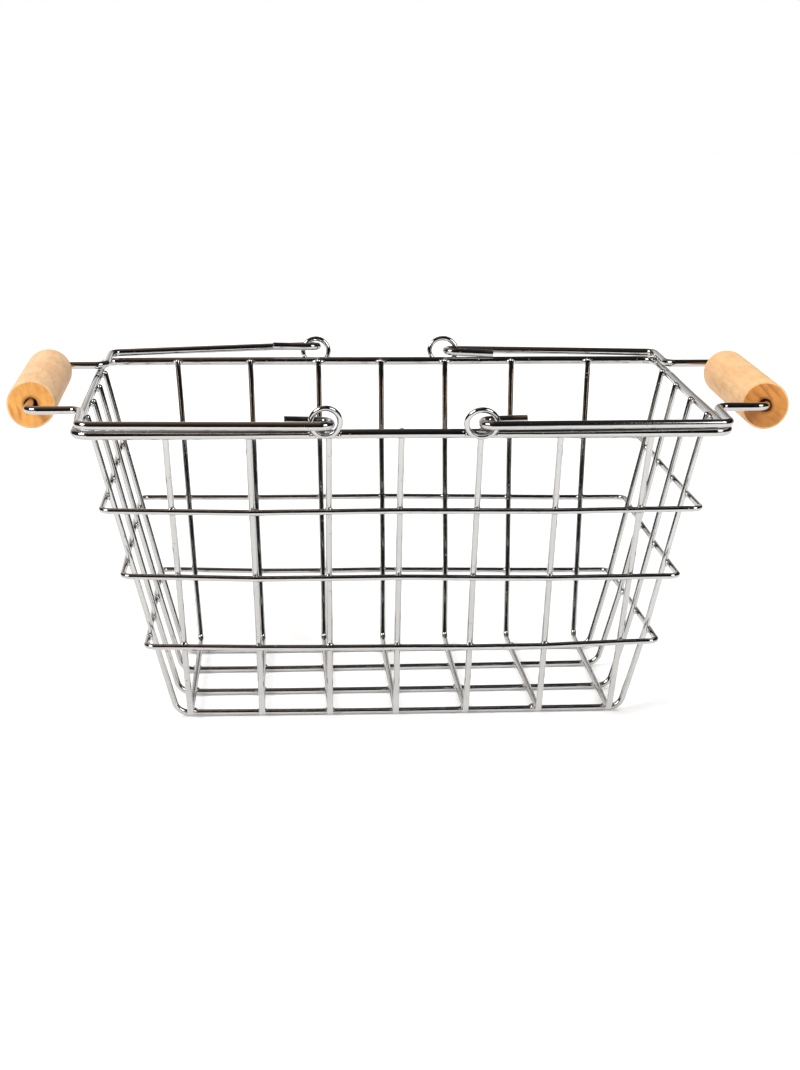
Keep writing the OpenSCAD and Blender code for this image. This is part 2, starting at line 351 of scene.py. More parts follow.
def bent_wire_tree():
    """Round wire swept along paths, with bends, tips and marks on the way."""
    maker, given, result = new_node_group("Bent Wire", [
        ("Diameter", "Float", 3 * MM),
        ("Sides", "Int", 20),
        ("Bend Steps", "Int", 12),
        ("Spacing", "Float", 12 * MM),
        ("Sway", "Float", 0.0),
        ("Material", "Material", None),
    ])
    path = maker.add("GeometryNodeMeshToCurve", {"Mesh": given.outputs["Geometry"]}).outputs[0]
    bend = maker.stored("bend", "FLOAT")
    path = maker.add(
        "GeometryNodeFilletCurve",
        {"Curve": path, "Count": given.outputs["Bend Steps"], "Radius": bend}, mode="POLY").outputs[0]

    # Long straight runs get points at an even spacing
    position = maker.add("GeometryNodeInputPosition").outputs[0]
    following = maker.add("GeometryNodeOffsetPointInCurve", {"Offset": 1}).outputs["Point Index"]
    next_position = maker.add(
        "GeometryNodeFieldAtIndex", {"Index": following, "Value": position},
        data_type="FLOAT_VECTOR", domain="POINT").outputs[0]
    run = maker.vector("DISTANCE", position, next_position)
    cuts = maker.maths("DIVIDE", run, given.outputs["Spacing"])
    path = maker.add("GeometryNodeSubdivideCurve", {"Curve": path, "Cuts": cuts}).outputs[0]

    path = wander(maker, path, given.outputs["Sway"])
    length = maker.add("GeometryNodeSplineParameter").outputs["Length"]
    path = maker.store(path, "run", length, "FLOAT")

    radius = maker.maths("MULTIPLY", given.outputs["Diameter"], 0.5)
    profile = maker.add(
        "GeometryNodeCurvePrimitiveCircle",
        {"Resolution": given.outputs["Sides"], "Radius": radius}).outputs["Curve"]
    spoke = maker.vector("NORMALIZE", maker.add("GeometryNodeInputPosition").outputs[0])
    profile = maker.store(profile, "spoke", spoke, "FLOAT_VECTOR")

    girth = maker.stored("girth", "FLOAT")
    wire = maker.add(
        "GeometryNodeCurveToMesh",
        {"Curve": path, "Profile Curve": profile, "Scale": girth, "Fill Caps": True}).outputs[0]
    finish_tree(maker, wire, given, result)
    return maker.tree


def weld_bead_tree():
    """Small lumps of melted metal on the points where wires are welded."""
    maker, given, result = new_node_group("Weld Beads", [
        ("Variation", "Float", 0.18),
        ("Lumps", "Float", 0.5 * MM),
        ("Sway", "Float", 0.0),
        ("Seed", "Int", 4),
        ("Material", "Material", None),
    ])
    points = wander(maker, given.outputs["Geometry"], given.outputs["Sway"])
    facing = maker.stored("facing", "FLOAT_VECTOR")
    along = maker.stored("along", "FLOAT_VECTOR")
    extent = maker.stored("extent", "FLOAT_VECTOR")
    turned = maker.add(
        "FunctionNodeAxesToRotation", {"Primary Axis": facing, "Secondary Axis": along},
        primary_axis="Z", secondary_axis="X").outputs[0]
    smallest = maker.maths("SUBTRACT", 1.0, given.outputs["Variation"])
    largest = maker.maths("ADD", 1.0, given.outputs["Variation"])
    size = maker.add(
        "FunctionNodeRandomValue", {2: smallest, 3: largest, "Seed": given.outputs["Seed"]},
        data_type="FLOAT").outputs[1]
    bead = maker.add("GeometryNodeMeshIcoSphere", {"Radius": 1.0, "Subdivisions": 3}).outputs["Mesh"]
    beads = maker.add(
        "GeometryNodeInstanceOnPoints",
        {"Points": points, "Instance": bead, "Rotation": turned,
         "Scale": maker.scaled(extent, size)}).outputs[0]
    beads = maker.add("GeometryNodeRealizeInstances", {"Geometry": beads}).outputs[0]
    position = maker.add("GeometryNodeInputPosition").outputs[0]
    lumps = maker.noise(position, 900.0, 1.0, output="Color")
    offset = maker.scaled(maker.vector("SUBTRACT", lumps, (0.5, 0.5, 0.5)), given.outputs["Lumps"])
    beads = maker.add("GeometryNodeSetPosition", {"Geometry": beads, "Offset": offset}).outputs[0]
    finish_tree(maker, beads, given, result)
    return maker.tree


def finish_tree(maker, geometry, given, result):
    """Smooth shading with sharp cut edges, real geometry and the material."""
    geometry = maker.add("GeometryNodeSetShadeSmooth", {"Geometry": geometry, "Shade Smooth": True}).outputs[0]
    angle = maker.add("GeometryNodeInputMeshEdgeAngle").outputs["Unsigned Angle"]
    sharp = maker.maths("GREATER_THAN", angle, math.radians(40))
    geometry = maker.add(
        "GeometryNodeSetShadeSmooth",
        {"Geometry": geometry, "Selection": sharp, "Shade Smooth": False}, domain="EDGE").outputs[0]
    geometry = maker.add("GeometryNodeRealizeInstances", {"Geometry": geometry}).outputs[0]
    geometry = maker.add(
        "GeometryNodeSetMaterial", {"Geometry": geometry, "Material": given.outputs["Material"]}).outputs[0]
    maker.tree.links.new(geometry, result.inputs[0])


def grown(name, mesh, tree, values):
    """Object with the mesh that a node tree grows from the given one."""
    seed = bpy.data.objects.new(name, mesh)
    bpy.context.scene.collection.objects.link(seed)
    modifier = seed.modifiers.new(tree.name, "NODES")
    modifier.node_group = tree
    sockets = {item.name: item.identifier for item in tree.interface.items_tree if item.in_out == "INPUT"}
    for label, value in values.items():
        modifier[sockets[label]] = value
    seed.update_tag()
    bpy.context.view_layer.update()
    evaluated = seed.evaluated_get(bpy.context.evaluated_depsgraph_get())
    plain = bpy.data.meshes.new_from_object(evaluated)
    seed.modifiers.clear()
    seed.data = plain
    plain.name = name
    bpy.data.meshes.remove(mesh)
    if not plain.polygons:
        raise RuntimeError(f"{tree.name} made no faces for {name}")
    return seed


# Wire paths


class WirePath:
    """Corner points of a wire, each with a bend radius and a girth."""

    def __init__(self, corners, bends, closed=False):
        self.points = [Vector(corner) for corner in corners]
        self.bends = list(bends)
        self.girths = [1.0] * len(corners)
        self.closed = closed

    def shape_ends(self, profile):
        """Replaces each end by points at (distance past it, girth), outermost last."""
        for at_start in (True, False):
            end, inner = (0, 1) if at_start else (-1, -2)
            outward = (self.points[end] - self.points[inner]).normalized()
            tip = [(self.points[end] + outward * past, girth) for past, girth in profile]
            if at_start:
                tip.reverse()
                self.points[:1] = [point for point, _ in tip]
                self.girths[:1] = [girth for _, girth in tip]
                self.bends[:1] = [0.0] * len(tip)
            else:
                self.points[-1:] = [point for point, _ in tip]
                self.girths[-1:] = [girth for _, girth in tip]
                self.bends[-1:] = [0.0] * len(tip)
        return self

    def round_tips(self, radius):
        angles = [math.radians(a) for a in (0, 18, 36, 54, 70, 84)]
        return self.shape_ends([(radius * math.sin(a), math.cos(a)) for a in angles])

    def cut_ends(self, burr=0.035):
        return self.shape_ends([(-0.6 * MM, 1.0), (-0.2 * MM, 1.0 + burr), (0.0, 1.0 - burr)])


def path_mesh(name, paths):
    """Mesh of edges along the paths, which the wire tree follows."""
    verts, edges, bends, girths = [], [], [], []
    for path in paths:
        first = len(verts)
        count = len(path.points)
        verts += path.points
        bends += path.bends
        girths += path.girths
        edges += [(first + i, first + i + 1) for i in range(count - 1)]
        if path.closed:
            edges.append((first + count - 1, first))
    mesh = bpy.data.meshes.new(name + "_path")
    mesh.from_pydata(verts, edges, [])
    for label, values in (("bend", bends), ("girth", girths)):
        mesh.attributes.new(label, "FLOAT", "POINT").data.foreach_set("value", values)
    return mesh


def settings():
    return bpy.context.scene.basket


def middle(node):
    low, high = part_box(node)
    return (low + high) / 2


def eased(values, t):
    """Value at t, from 0 to 1, of a smooth curve through evenly spaced values."""
    place = min(max(t, 0.0), 1.0) * (len(values) - 1)
    i = min(int(place), len(values) - 2)
    f = place - i
    a, b = values[i], values[i + 1]
    before, after = values[max(i - 1, 0)], values[min(i + 2, len(values) - 1)]
    return 0.5 * (
        2 * a + (b - before) * f + (2 * before - 5 * a + 4 * b - after) * f ** 2
        + (3 * a - before - 3 * b + after) * f ** 3)


def between(a, b, f):
    return a + (b - a) * f


class BasketShape:
    """Centrelines of the fixed wires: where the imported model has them, moved
    by what was set off by hand."""

    def __init__(self):
        wires = settings().wires
        mesh_r, rim_r = wires.mesh_diameter / 2, wires.rim_diameter / 2
        self.plating = (wires.upright_diameter - wires.mesh_diameter) / 2
        low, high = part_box("rim")
        self.rim_x, self.rim_y, self.rim_z = high.x - rim_r, high.y - rim_r, (low.z + high.z) / 2
        low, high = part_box(CROSS_WIRES[0])
        self.tip_z = high.z - mesh_r
        self.cross_z = low.z + mesh_r
        self.tip_y = high.y - mesh_r
        self.floor_y = wires.floor_width / 2
        low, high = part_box(LENGTH_WIRES[0])
        self.length_z = low.z + mesh_r
        self.tip_x = high.x - mesh_r
        self.floor_x = wires.floor_length / 2
        self.long_slope = (self.tip_y - self.floor_y) / (self.tip_z - self.cross_z)
        self.end_slope = (self.tip_x - self.floor_x) / (self.tip_z - self.length_z)
        self.hoops = []
        for name in HOOPS:
            low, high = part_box(name)
            self.hoops.append((high.x - mesh_r, high.y - mesh_r, (low.z + high.z) / 2))
        self.levels = [self.length_z, self.hoops[2][2], self.hoops[1][2], self.hoops[0][2], self.tip_z]

    def floor_lift(self, x, y):
        side, across = (LEFT if x < 0 else RIGHT), (y / self.floor_y + 1) / 2
        corner = between(FLOOR_SET[side, FRONT], FLOOR_SET[side, BACK], across)
        return corner * (x / self.floor_x) ** 2 * MM + self.plating

    def on_floor(self, place):
        """Lifts a wire's floor corner with the floor."""
        place.z += self.floor_lift(place.x, place.y)
        return place

    def on_rim(self, place, below=0.0):
        """Lifts a place at the rim with the rim, less a depth below it."""
        place.z += self.rim_rise(place.x, place.y) - below
        return place

    def rim_corner(self, side, end):
        aside, up = RIM_SET[side, end]
        x = side * self.rim_x + self.wall_set(side, end * self.rim_y, self.tip_z) + aside * MM
        return Vector((x, end * self.rim_y, self.rim_z + up * MM))

    def rim_rise(self, x, y):
        """Height of the rim's centreline above its even place, between its corners."""
        along, across = (x / self.rim_x + 1) / 2, (y / self.rim_y + 1) / 2
        left = between(RIM_SET[LEFT, FRONT][1], RIM_SET[LEFT, BACK][1], across)
        right = between(RIM_SET[RIGHT, FRONT][1], RIM_SET[RIGHT, BACK][1], across)
        return between(left, right, along) * MM

    def wall_set(self, side, y, z):
        """Sideways offset of an end wall."""
        table = WALL_SET[side]
        z = min(max(z, self.levels[0]), self.levels[-1])
        for i in range(len(table) - 1):
            if z <= self.levels[i + 1]:
                break
        f = (z - self.levels[i]) / (self.levels[i + 1] - self.levels[i])
        front, back = (between(table[i][k], table[i + 1][k], f) for k in (0, 1))
        return between(front, back, (y / self.rim_y + 1) / 2) * MM

    def cross_upright(self, i, end, z):
        """Centre of a crosswise wire on the front or back wall at a height."""
        low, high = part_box(CROSS_WIRES[i])
        mesh_r = settings().wires.mesh_diameter / 2
        left, right = low.x + mesh_r, high.x - mesh_r
        tip, foot = (left, right) if left + right < 0 else (right, left)
        tip_set, foot_set = CROSS_SET[i][:2] if end == FRONT else CROSS_SET[i][:1:-1]
        f = (z - self.cross_z) / (self.tip_z - self.cross_z)
        x = between(foot + foot_set * MM, tip + tip_set * MM, f)
        return Vector((x, end * between(self.floor_y, self.tip_y, f), z))

    def length_upright(self, i, side, z):
        """Centre of a lengthwise wire on the left or right wall at a height."""
        low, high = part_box(LENGTH_WIRES[i])
        mesh_r = settings().wires.mesh_diameter / 2
        front, back = low.y + mesh_r, high.y - mesh_r
        tip, foot = (front, back) if front + back < 0 else (back, front)
        foot_set = LENGTH_SET[i][0 if side == LEFT else 1]
        f = (z - self.length_z) / (self.tip_z - self.length_z)
        y = between(foot + foot_set * MM, tip, f)
        return Vector((side * between(self.floor_x, self.tip_x, f) + self.wall_set(side, y, z), y, z))

    def hoop_long(self, hoop, end, x):
        """Centre of a hoop's front or back run at a place along it."""
        half_x, half_y, base_z = self.hoops[hoop]
        rise = eased(HOOP_SET[hoop][0 if end == FRONT else 1], (x / half_x + 1) / 2) * MM
        return Vector((x, end * (half_y + rise * self.long_slope), base_z + rise))

    def hoop_end(self, hoop, side, y):
        """Centre of a hoop's left or right run at a place along it."""
        half_x, half_y, base_z = self.hoops[hoop]
        place = -1 if side == RIGHT else 0
        front, back = HOOP_SET[hoop][0][place], HOOP_SET[hoop][1][place]
        sag = END_SAG[side][hoop] * (1 - (y / half_y) ** 2)
        rise = (between(front, back, (y / half_y + 1) / 2) + sag) * MM
        z = base_z + rise
        return Vector((side * (half_x + rise * self.end_slope) + self.wall_set(side, y, z), y, z))

    def hoop_corner(self, hoop, side, end):
        at_end = self.hoop_end(hoop, side, end * self.hoops[hoop][1])
        return Vector((at_end.x, self.hoop_long(hoop, end, side * self.hoops[hoop][0]).y, at_end.z))

    def hoop_on_cross(self, hoop, i, end):
        """Where a hoop passes a crosswise wire: centres of the hoop and of the wire."""
        run = self.hoop_long(hoop, end, self.cross_upright(i, end, self.hoops[hoop][2]).x)
        wire = self.cross_upright(i, end, run.z)
        return self.hoop_long(hoop, end, wire.x), wire

    def hoop_on_length(self, hoop, i, side):
        run = self.hoop_end(hoop, side, self.length_upright(i, side, self.hoops[hoop][2]).y)
        wire = self.length_upright(i, side, run.z)
        return self.hoop_end(hoop, side, wire.y), wire


def ring_place(side, end):
    """Centre, half width and half height of a pivot ring's centreline, and its
    outward lean in radians."""
    name = RINGS[side, end]
    low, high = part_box(name)
    diameter = settings().handles.ring_diameter
    hub = (high.x - low.x - diameter) / 2
    lean = math.asin((high.y - low.y - diameter) / 2 / hub)
    aside, up, wider, taller = (value * MM for value in RING_SET[side, end])
    centre = (low + high) / 2 + Vector((aside, end * up * math.tan(lean), up))
    return centre, hub + wider / 2, hub + taller / 2, lean


# Finishes


def chrome_material(name, colour, tarnish, dull):
    """Chrome plating over drawn wire: sharp reflections broken up by fine
    ripples, drawing lines along the wire and a few dull spots."""
    maker = SurfaceMaker(name)
    place = maker.add("ShaderNodeTexCoord").outputs["Object"]
    along = maker.maths("MULTIPLY", maker.attribute("run"), 25.0)
    drawn = maker.add("ShaderNodeCombineXYZ", {2: along}).outputs[0]
    drawn = maker.vector("ADD", drawn, maker.scaled(maker.attribute("spoke", "Vector"), 7.0))
    lines = maker.noise(drawn, 1.6, 3.0)
    ripples = maker.noise(place, 260.0, 3.0, 0.6)
    spots = maker.smooth_step(maker.noise(place, 420.0, 2.0), 0.66, 0.74)
    rough = maker.maths("MULTIPLY_ADD", maker.noise(place, 38.0, 3.0), 0.05, dull)
    maker.surface("Metallic", 1.0)
    maker.surface("Base Color", maker.mixed(maker.maths("MULTIPLY", spots, 0.55), colour, tarnish))
    maker.surface("Roughness", maker.maths("MULTIPLY_ADD", spots, 0.22, rough))
    maker.bump(0.16, 0.12 * MM, maker.maths("MULTIPLY_ADD", lines, 0.35, ripples))
    return maker.material


def tinted(colour, *factors):
    return tuple(min(1.0, c * f) for c, f in zip(colour, factors))


def beech_material(name, side, sawn, fleck):
    """Turned beech: growth rings and straight fibres run along the dowel and
    show on its sawn ends, which are darker and faintly rayed from the middle."""
    maker = SurfaceMaker(name)
    dowel = maker.attribute("dowel", "Vector")

    # Rings of growth around a pith far outside the dowel, whose own Y they follow
    pith, ring_spacing = (-79 * MM, 0.0, -14 * MM), 4.2 * MM
    section = maker.vector("MULTIPLY", dowel, (1.0, 0.0, 1.0))
    slow = maker.vector("MULTIPLY", dowel, (1.0, 0.12, 1.0))
    warp = maker.maths("MULTIPLY", maker.noise(slow, 70.0, 2.0), 1.6)
    phase = maker.maths("MULTIPLY_ADD", maker.vector("DISTANCE", section, pith), 1 / ring_spacing, warp)
    phase = maker.maths("FRACT", phase)
    late = maker.maths("MULTIPLY", maker.smooth_step(phase, 0.35, 0.9), maker.smooth_step(phase, 1.0, 0.93))
    strength = maker.smooth_step(maker.noise(slow, 110.0, 1.0), 0.45, 0.65)
    rings = maker.maths("MULTIPLY", late, maker.maths("MULTIPLY_ADD", strength, 0.75, 0.2))

    fibres = maker.noise(maker.vector("MULTIPLY", dowel, (1.0, 0.05, 1.0)), 1300.0, 4.0, 0.65)
    pores = maker.noise(maker.vector("MULTIPLY", dowel, (1.0, 0.07, 1.0)), 1100.0, 1.0)
    pores = maker.smooth_step(pores, 0.62, 0.72)
    figure = maker.noise(maker.vector("MULTIPLY", dowel, (1.0, 0.3, 1.0)), 170.0, 4.0, 0.6)
    blush = maker.smooth_step(maker.noise(dowel, 35.0, 2.0), 0.45, 0.7)

    deep = tinted(side, 0.88, 0.78, 0.68)
    wood = maker.ramp(figure, [(0.32, deep), (0.5, side), (0.68, tinted(side, 1.1, 1.1, 1.1))])
    wood = maker.mixed(blush, wood, tinted(side, 1.0, 0.88, 0.88))
    grain = maker.smooth_step(fibres, 0.35, 0.7)
    for marks, depth, tint in ((rings, 0.45, deep), (grain, 0.25, deep), (pores, 0.3, fleck)):
        wood = maker.mixed(maker.maths("MULTIPLY", marks, depth), wood, tint)

    # Sawn ends, with faint rays out from the dowel's axis
    x, _, z = maker.add("ShaderNodeSeparateXYZ", {0: dowel}).outputs
    bearing = maker.maths("MULTIPLY", maker.maths("ARCTAN2", z, x), 5.0)
    reach = maker.maths("MULTIPLY", maker.vector("LENGTH", section), 260.0)
    fan = maker.add("ShaderNodeCombineXYZ", {0: bearing, 1: reach}).outputs[0]
    rays = maker.smooth_step(maker.noise(fan, 1.4, 4.0, 0.6), 0.5, 0.75)
    dull, bright = tinted(sawn, 0.86, 0.86, 0.86), tinted(sawn, 1.12, 1.12, 1.12)
    end = maker.ramp(figure, [(0.3, dull), (0.5, sawn), (0.7, bright)])
    for marks, depth in ((rings, 0.75), (rays, 0.3)):
        end = maker.mixed(maker.maths("MULTIPLY", marks, depth), end, tinted(sawn, 0.68, 0.5, 0.4))
    # Painted shade in dark brown: in the bore, at its mouth and in the wire's painted shadow on the front end
    end = maker.mixed(maker.attribute("stain"), end, (0.16, 0.045, 0.015))

    maker.surface("Specular IOR Level", 0.35)
    maker.surface("Base Color", maker.mixed(maker.attribute("at_end"), wood, end))
    maker.surface("Roughness", maker.maths("MULTIPLY_ADD", fibres, 0.18, 0.45))
    maker.bump(0.22, 0.15 * MM, maker.maths("MULTIPLY_ADD", pores, -0.7, fibres))
    return maker.material


DULLNESS = {"chromed wire": 0.035, "chromed weld": 0.08}
FINISHES = {}


def finish(name):
    """Material by name, made on its first use."""
    if name not in FINISHES:
        chrome, grips = settings().chrome, settings().grips
        if name in DULLNESS:
            FINISHES[name] = chrome_material(name, tuple(chrome.colour), tuple(chrome.tarnish), DULLNESS[name])
        elif name in ("left beech", "right beech"):
            word = name.split()[0]
            side, end = (tuple(getattr(grips, f"{word}_{part}_colour")) for part in ("side", "end"))
            FINISHES[name] = beech_material(name, side, end, tuple(grips.fleck_colour))
        else:
            raise ValueError(f"there is no finish named {name}")
    return FINISHES[name]


def wire_object(name, paths, diameter, sides, sway=0.0, spacing=12 * MM, bend_steps=12):
    tree = bpy.data.node_groups.get("Bent Wire") or bent_wire_tree()
    return grown(name, path_mesh(name, paths), tree, {
        "Diameter": diameter, "Sides": sides, "Bend Steps": bend_steps,
        "Spacing": spacing, "Sway": sway, "Material": finish("chromed wire"),
    })


# Pieces


class BASKET_OT_rim(Operator):
    """Stout wire around the top"""
    bl_idname = "basket.rim"
    bl_label = "Rim"

    def execute(self, context):
        wires, shape = settings().wires, BasketShape()
        corners = [shape.rim_corner(side, end) for side, end in AROUND]
        path = WirePath(corners, [wires.rim_corner] * 4, closed=True)
        piece = wire_object("rim_wire", [path], wires.rim_diameter, 32, wires.sway, bend_steps=16)
        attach(piece, "basket")
        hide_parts("rim")
        return {"FINISHED"}


class BASKET_OT_cross_wires(Operator):
    """Crosswise wires: front wall, floor and back wall in one"""
    bl_idname = "basket.cross_wires"
    bl_label = "Crosswise Wires"

    def execute(self, context):
        wires, shape = settings().wires, BasketShape()
        paths = []
        for i in range(len(CROSS_WIRES)):
            half = {}
            for end in (FRONT, BACK):
                half[end] = [
                    shape.on_rim(shape.cross_upright(i, end, shape.tip_z), 2 * shape.plating),
                    shape.on_floor(shape.cross_upright(i, end, shape.cross_z))]
            path = WirePath(half[FRONT] + half[BACK][::-1], [0, wires.cross_bend, wires.cross_bend, 0])
            paths.append(path.round_tips(wires.upright_diameter / 2))
        piece = wire_object("crosswise_wires", paths, wires.upright_diameter, 22, wires.sway)
        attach(piece, "basket")
        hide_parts(*CROSS_WIRES)
        return {"FINISHED"}


class BASKET_OT_length_wires(Operator):
    """Lengthwise wires: left wall, floor and right wall in one"""
    bl_idname = "basket.length_wires"
    bl_label = "Lengthwise Wires"

    def execute(self, context):
        wires, shape = settings().wires, BasketShape()
        paths = []
        for i in range(len(LENGTH_WIRES)):
            half = {}
            for side in (LEFT, RIGHT):
                half[side] = [
                    shape.on_rim(shape.length_upright(i, side, shape.tip_z), 2 * shape.plating),
                    *(shape.hoop_on_length(hoop, i, side)[1] for hoop in range(len(HOOPS))),
                    shape.on_floor(shape.length_upright(i, side, shape.length_z))]
            floor = []
            for f in (0.2, 0.5, 0.8):
                x = between(-shape.floor_x, shape.floor_x, f)
                y = between(half[LEFT][-1].y, half[RIGHT][-1].y, f)
                floor.append(shape.on_floor(Vector((x, y, shape.length_z))))
            bends = [0] * len(half[LEFT][:-1]) + [wires.length_bend]
            path = WirePath(
                half[LEFT] + floor + half[RIGHT][::-1], bends + [0] * len(floor) + bends[::-1])
            paths.append(path.round_tips(wires.upright_diameter / 2))
        piece = wire_object("lengthwise_wires", paths, wires.upright_diameter, 22, wires.sway)
        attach(piece, "basket")
        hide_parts(*LENGTH_WIRES)
        return {"FINISHED"}


class BASKET_OT_hoops(Operator):
    """Three hoops around the outside of the walls"""
    bl_idname = "basket.hoops"
    bl_label = "Hoops"

    def execute(self, context):
        wires, shape = settings().wires, BasketShape()
        crosses, lengths = range(len(CROSS_WIRES)), range(len(LENGTH_WIRES))
        paths = []
        for hoop in range(len(HOOPS)):
            path = WirePath([], [], closed=True)
            for side, end, run in (
                (RIGHT, BACK, [shape.hoop_on_cross(hoop, i, BACK)[0] for i in reversed(crosses)]),
                (LEFT, BACK, [shape.hoop_on_length(hoop, i, LEFT)[0] for i in reversed(lengths)]),
                (LEFT, FRONT, [shape.hoop_on_cross(hoop, i, FRONT)[0] for i in crosses]),
                (RIGHT, FRONT, [shape.hoop_on_length(hoop, i, RIGHT)[0] for i in lengths]),
            ):
                path.points += [shape.hoop_corner(hoop, side, end), *run]
                path.bends += [wires.hoop_corner] + [0] * len(run)
            path.girths = [1.0] * len(path.points)
            paths.append(path)
        piece = wire_object("hoop_wires", paths, wires.hoop_diameter, 22, wires.sway)
        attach(piece, "basket")
        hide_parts(*HOOPS)
        return {"FINISHED"}


class BASKET_OT_pivot_rings(Operator):
    """Rings that the handles' hooks turn in, each bent shut with a butt joint"""
    bl_idname = "basket.pivot_rings"
    bl_label = "Pivot Rings"

    def execute(self, context):
        sizes = settings().handles
        steps = 72
        gap = math.radians(2.2)
        paths = []
        for side, end in RINGS:
            centre, half_width, half_height, lean = ring_place(side, end)
            seam = math.radians(200) if side == LEFT else math.radians(-20)
            points = []
            for i in range(steps + 1):
                angle = seam + gap / 2 + (2 * math.pi - gap) * i / steps
                up = half_height * math.sin(angle)
                points.append(centre + Vector((
                    half_width * math.cos(angle), end * up * math.sin(lean), up * math.cos(lean))))
            path = WirePath(points, [0] * len(points))
            path.girths[0] = path.girths[-1] = 0.93
            paths.append(path)
        piece = wire_object("ring_wires", paths, sizes.ring_diameter, 24, spacing=0.05)
        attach(piece, "basket")
        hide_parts(*RINGS.values())
        return {"FINISHED"}


class BASKET_OT_welds(Operator):
    """Beads of melted metal where wires cross and where rings meet the rim"""
    bl_idname = "basket.welds"
    bl_label = "Weld Beads"

    def execute(self, context):
        wires, shape = settings().wires, BasketShape()
        mesh_r, rim_r = wires.mesh_diameter / 2, wires.rim_diameter / 2
        long_tilt, end_tilt = math.atan(shape.long_slope), math.atan(shape.end_slope)
        beads = []

        def bead(place, facing, along, extent):
            beads.append((Vector(place), Vector(facing), Vector(along), Vector(extent) * MM))

        # Half sizes in millimetres: along, across and out
        crossing, at_rim = (2.5, 2.3, 1.35), (3.1, 2.0, 1.5)
        under_ring, at_ring = (4.4, 2.2, 1.7), (1.5, 1.3, 1.0)
        for i in range(len(CROSS_WIRES)):
            for end in (FRONT, BACK):
                facing = Vector((0, end * math.cos(long_tilt), -math.sin(long_tilt)))
                for hoop in range(len(HOOPS)):
                    run, wire = shape.hoop_on_cross(hoop, i, end)
                    bead((run + wire) / 2, facing, (1, 0, 0), crossing)
                tip = shape.on_rim(shape.cross_upright(i, end, shape.rim_z))
                by_ring = i in RING_WIRES and end == BACK
                bead(tip + facing * mesh_r, facing, (1, 0, 0), under_ring if by_ring else at_rim)
            for j in range(len(LENGTH_WIRES)):
                x = sum(shape.cross_upright(i, end, shape.cross_z).x for end in (FRONT, BACK)) / 2
                y = sum(shape.length_upright(j, side, shape.length_z).y for side in (LEFT, RIGHT)) / 2
                place = shape.on_floor(Vector((x, y, (shape.cross_z + shape.length_z) / 2)))
                bead(place, (0, 0, 1), (1, 0, 0), crossing)
        for i in range(len(LENGTH_WIRES)):
            for side in (LEFT, RIGHT):
                facing = Vector((side * math.cos(end_tilt), 0, -math.sin(end_tilt)))
                for hoop in range(len(HOOPS)):
                    run, wire = shape.hoop_on_length(hoop, i, side)
                    bead((run + wire) / 2, facing, (0, 1, 0), crossing)
                tip = shape.on_rim(shape.length_upright(i, side, shape.rim_z))
                bead(tip + facing * mesh_r, facing, (0, 1, 0), at_rim)
        for side, end in RINGS:
            centre, half_width, _, _ = ring_place(side, end)
            facing = Vector((0, end * math.cos(long_tilt), -math.sin(long_tilt)))
            for x in (-0.88, 0.88):
                place = Vector((centre.x + x * half_width, end * shape.rim_y, shape.rim_z)) + facing * rim_r
                bead(shape.on_rim(place), facing, (1, 0, 0), at_ring)

        mesh = bpy.data.meshes.new("weld_points")
        mesh.from_pydata([b[0] for b in beads], [], [])
        for i, label in enumerate(("facing", "along", "extent"), 1):
            values = [c for b in beads for c in b[i]]
            mesh.attributes.new(label, "FLOAT_VECTOR", "POINT").data.foreach_set("vector", values)
        piece = grown("weld_beads", mesh, weld_bead_tree(), {
            "Sway": wires.sway, "Seed": 4, "Material": finish("chromed weld"),
        })
        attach(piece, "basket")
        return {"FINISHED"}


class BASKET_OT_handles(Operator):
    """Bail handles, each with a hook at both ends"""
    bl_idname = "basket.handles"
    bl_label = "Handles"

    def execute(self, context):
        sizes, wires = settings().handles, settings().wires
        radius = sizes.diameter / 2
        rim_low, rim_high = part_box("rim")
        corner_x = rim_high.x - wires.rim_diameter / 2 - sizes.end_inset
        corner_y = rim_high.y - wires.rim_diameter / 2 + sizes.leg_overhang
        for side, word in SIDES.items():
            low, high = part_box(word + "_handle")
            grip_low, grip_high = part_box(word + "_grip")
            pivot = middle(RINGS[side, BACK])
            grip_x = side * (grip_low.x + grip_high.x) / 2
            grip_y = (grip_high.y - grip_low.y) / 2 + sizes.grip_play + sizes.bend
            rest_z = low.z + radius
            reach = self.hook_reach(RINGS[side, BACK], radius)
            seat = abs(pivot.x) - sizes.hook_seat
            halves = {}
            for end, hook_return in ((FRONT, sizes.front_hook_return), (BACK, sizes.back_hook_return)):
                hook_out, inner_up, outer_up, tip_up, leg_aside, leg_up, step_aside, step_up = (
                    value * MM for value in HANDLE_SET[side, end])
                halves[end] = [Vector((side * x + aside, end * y, z)) for x, aside, y, z in (
                    (abs(pivot.x) + hook_return, 0, pivot.y - reach, pivot.z + sizes.hook_rise + tip_up),
                    (seat + hook_out, 0, pivot.y - reach, pivot.z + inner_up),
                    (seat + hook_out, 0, pivot.y + reach, pivot.z + outer_up),
                    (corner_x, leg_aside, corner_y, rest_z + leg_up),
                    (corner_x, step_aside, grip_y, rest_z + step_up),
                    (grip_x, 0, grip_y, rest_z + step_up),
                )]
            hook_bend = reach - sizes.ring_diameter / 2
            bends = [0, hook_bend, hook_bend, sizes.bend, sizes.bend, sizes.bend]
            path = WirePath(halves[FRONT] + halves[BACK][::-1], bends + bends[::-1]).cut_ends()
            piece = wire_object(word + "_handle_wire", [path], sizes.diameter, 32, bend_steps=16)
            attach(piece, word + "_handle")
            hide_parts(word + "_handle")
        return {"FINISHED"}

    def hook_reach(self, ring, radius):
        """Distance along Y from a pivot to each leg of the hook."""
        sizes = settings().handles
        low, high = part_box(ring)
        leaning = (high.y - low.y - sizes.ring_diameter) / 2
        return leaning + sizes.hook_clear + radius + sizes.ring_diameter / 2


